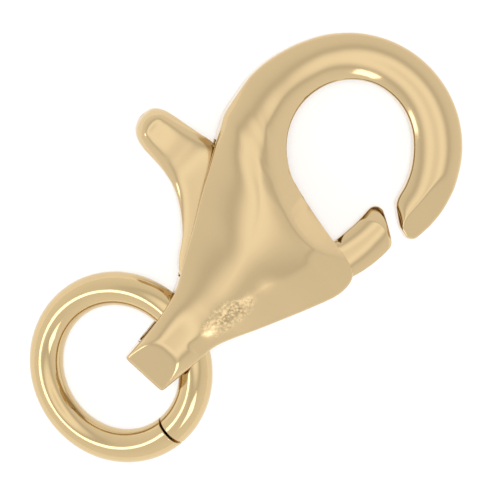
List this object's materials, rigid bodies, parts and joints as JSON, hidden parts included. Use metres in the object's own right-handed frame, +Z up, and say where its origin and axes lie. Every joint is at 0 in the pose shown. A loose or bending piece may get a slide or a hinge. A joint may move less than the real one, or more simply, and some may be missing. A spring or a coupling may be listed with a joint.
{
  "type": "lobster clasp with jump ring",
  "caption": "Small cast lobster clasp with a sprung thumb lever and gate, a domed body and a cut wire ring in its tail.",
  "frame": {"origin": "middle of the bounding box in X and Y, on the surface that the clasp and its ring lie on", "axes": "+X from the tail to the hook along the surface, +Y towards the side of the thumb tab, +Z up, out of the clasp's front face"},
  "size_m": [0.015, 0.0082, 0.0034],
  "materials": {
    "gold_plate": "polished light gold plate",
    "gold_wire": "polished light gold plate on drawn wire",
    "pin_metal": "light gold plate, less polished"
  },
  "bodies": {
    "clasp": {"hook_body": "gold_plate", "pivot_pin": "pin_metal", "jump_ring": "gold_wire"},
    "lever": {"trigger_lever": "gold_plate"}
  },
  "joints": [
    {"name": "lever_hinge", "type": "hinge", "parent": "clasp", "child": "lever", "pos_m": [0, -0.00066, 0.00185], "axis": [0.1045, 0, 0.9945], "range_deg": [0, 25], "stiffness_Nm_per_rad": 0.01}
  ]
}
